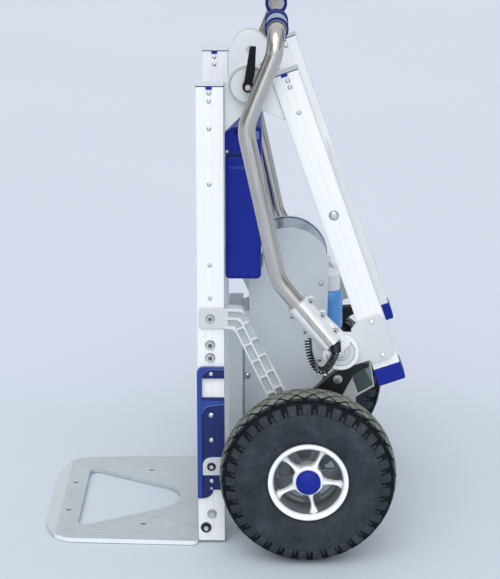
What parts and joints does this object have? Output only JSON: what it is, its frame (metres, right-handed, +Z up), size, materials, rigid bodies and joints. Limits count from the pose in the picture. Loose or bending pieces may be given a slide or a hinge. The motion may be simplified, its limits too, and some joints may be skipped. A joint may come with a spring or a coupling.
{
  "type": "stair climbing trolley",
  "caption": "Powered stair climbing hand trolley, folded: twin rails on two pneumatic wheels, toe plate, folding upper frame with bent tube handles, battery and climbing arms.",
  "frame": {"origin": "centre of the standing footprint, on the floor under the toe plate and tyres", "axes": "+Z up the rails, -X towards the load and the toe plate, +X towards the wheels, Y along the axle"},
  "size_m": [0.5438, 0.512, 0.7947],
  "materials": {
    "rail_white": "satin anodised",
    "plate_white": "satin paint",
    "toe_aluminium": "brushed",
    "blue_plastic": "smooth moulded",
    "cast_grey": "textured paint on a casting",
    "zinc": "zinc plated",
    "housing_grey": "semi-gloss powder coat",
    "dark_metal": "as cast",
    "motor_blue": "glossy",
    "black_plastic": "matte",
    "rubber": "matte",
    "steel": "polished stainless",
    "grip_grey": "matte",
    "tyre_rubber": "matte",
    "rim_white": "satin paint",
    "roller_cream": "smooth"
  },
  "bodies": {
    "root": {"lower_rail_left": "rail_white", "lower_rail_right": "rail_white", "cross_bar": "rail_white", "toe_plate": "toe_aluminium", "slide_guard_left": "blue_plastic", "slide_guard_right": "blue_plastic", "axle_arm_left": "cast_grey", "axle_arm_right": "cast_grey", "wheel_axle": "zinc", "housing_side_left": "housing_grey", "housing_side_right": "housing_grey", "housing_wrap": "housing_grey", "chassis_box": "housing_grey", "gear_case": "dark_metal", "drive_motor": "motor_blue", "rest_strut_left": "black_plastic", "rest_strut_right": "black_plastic", "bumper_mount": "cast_grey", "rubber_bumper": "rubber", "battery_case": "blue_plastic", "battery_pack": "black_plastic", "battery_lid": "blue_plastic", "hinge_plate_lower_left": "plate_white", "hinge_plate_lower_right": "plate_white", "hinge_disc_left": "cast_grey", "hinge_disc_right": "cast_grey"},
    "upper_frame": {"hinge_plate_upper_left": "plate_white", "hinge_plate_upper_right": "plate_white", "upper_rail_left": "rail_white", "upper_rail_right": "rail_white", "end_cap_left": "blue_plastic", "end_cap_right": "blue_plastic", "pivot_plate_left": "plate_white", "pivot_plate_right": "plate_white", "upper_cross_bar": "rail_white"},
    "handle_left": {"handle_clamp_left": "zinc", "handle_tube_left": "steel", "grip_left": "grip_grey", "curly_cord": "rubber"},
    "handle_right": {"handle_clamp_right": "zinc", "handle_tube_right": "steel", "grip_right": "grip_grey"},
    "control_button": {"control_button": "black_plastic"},
    "clamp_lever_left": {"clamp_lever_left": "black_plastic"},
    "clamp_lever_right": {"clamp_lever_right": "black_plastic"},
    "battery_latch_left": {"battery_latch_left": "plate_white"},
    "battery_latch_right": {"battery_latch_right": "plate_white"},
    "wheel_left": {"tyre_left": "tyre_rubber", "rim_left": "rim_white", "hub_cap_left": "blue_plastic"},
    "wheel_right": {"tyre_right": "tyre_rubber", "rim_right": "rim_white", "hub_cap_right": "blue_plastic"},
    "climb_arms": {"climb_shaft": "dark_metal", "climb_gear": "dark_metal", "climb_arm_left": "cast_grey", "climb_arm_right": "cast_grey"},
    "climb_roller_left": {"climb_roller_left": "roller_cream"},
    "climb_roller_right": {"climb_roller_right": "roller_cream"},
    "motor_pinion": {"motor_pinion": "dark_metal"}
  },
  "joints": [
    {"name": "frame_fold", "type": "hinge", "parent": "root", "child": "upper_frame", "pos_m": [0.0403, 0, 0.699], "axis": [0, -1, 0], "range_deg": [0, 160.6]},
    {"name": "handle_turn_left", "type": "hinge", "parent": "upper_frame", "child": "handle_left", "pos_m": [0.1755, 0, 0.307], "axis": [0, -1, 0], "range_deg": [-195, 2]},
    {"name": "wheel_spin_left", "type": "hinge", "parent": "root", "child": "wheel_left", "pos_m": [0.1285, 0, 0.13], "axis": [0, -1, 0], "continuous": true},
    {"name": "clamp_lever_left", "type": "hinge", "parent": "root", "child": "clamp_lever_left", "pos_m": [0.0403, 0, 0.699], "axis": [0, -1, 0], "range_deg": [0, 95]},
    {"name": "latch_press_left", "type": "slide", "parent": "root", "child": "battery_latch_left", "axis": [0, 1, 0], "range_m": [0, 0.0025], "stiffness_N_per_m": 300},
    {"name": "climb_roller_spin_left", "type": "hinge", "parent": "climb_arms", "child": "climb_roller_left", "pos_m": [0.0495, 0, 0.038], "axis": [0, -1, 0], "continuous": true},
    {"name": "handle_turn_right", "type": "hinge", "parent": "upper_frame", "child": "handle_right", "pos_m": [0.1755, 0, 0.307], "axis": [0, -1, 0], "range_deg": [-195, 2]},
    {"name": "wheel_spin_right", "type": "hinge", "parent": "root", "child": "wheel_right", "pos_m": [0.1285, 0, 0.13], "axis": [0, -1, 0], "continuous": true},
    {"name": "clamp_lever_right", "type": "hinge", "parent": "root", "child": "clamp_lever_right", "pos_m": [0.0403, 0, 0.699], "axis": [0, -1, 0], "range_deg": [0, 95]},
    {"name": "latch_press_right", "type": "slide", "parent": "root", "child": "battery_latch_right", "axis": [0, -1, 0], "range_m": [0, 0.0025], "stiffness_N_per_m": 300},
    {"name": "climb_roller_spin_right", "type": "hinge", "parent": "climb_arms", "child": "climb_roller_right", "pos_m": [0.0495, 0, 0.038], "axis": [0, -1, 0], "continuous": true},
    {"name": "button_press", "type": "slide", "parent": "handle_left", "child": "control_button", "axis": [0, -1, 0], "range_m": [0, 0.0025], "stiffness_N_per_m": 300},
    {"name": "climb_turn", "type": "hinge", "parent": "root", "child": "climb_arms", "pos_m": [0.1285, 0, 0.13], "axis": [0, -1, 0], "continuous": true},
    {"name": "pinion_spin", "type": "hinge", "parent": "root", "child": "motor_pinion", "pos_m": [0.1285, 0, 0.2024], "axis": [0, -1, 0], "continuous": true}
  ],
  "couplings": [
    {"joint": "handle_turn_left", "follows": "frame_fold", "ratio": -1.2},
    {"joint": "handle_turn_right", "follows": "frame_fold", "ratio": -1.2},
    {"joint": "pinion_spin", "follows": "climb_turn", "ratio": -3}
  ]
}
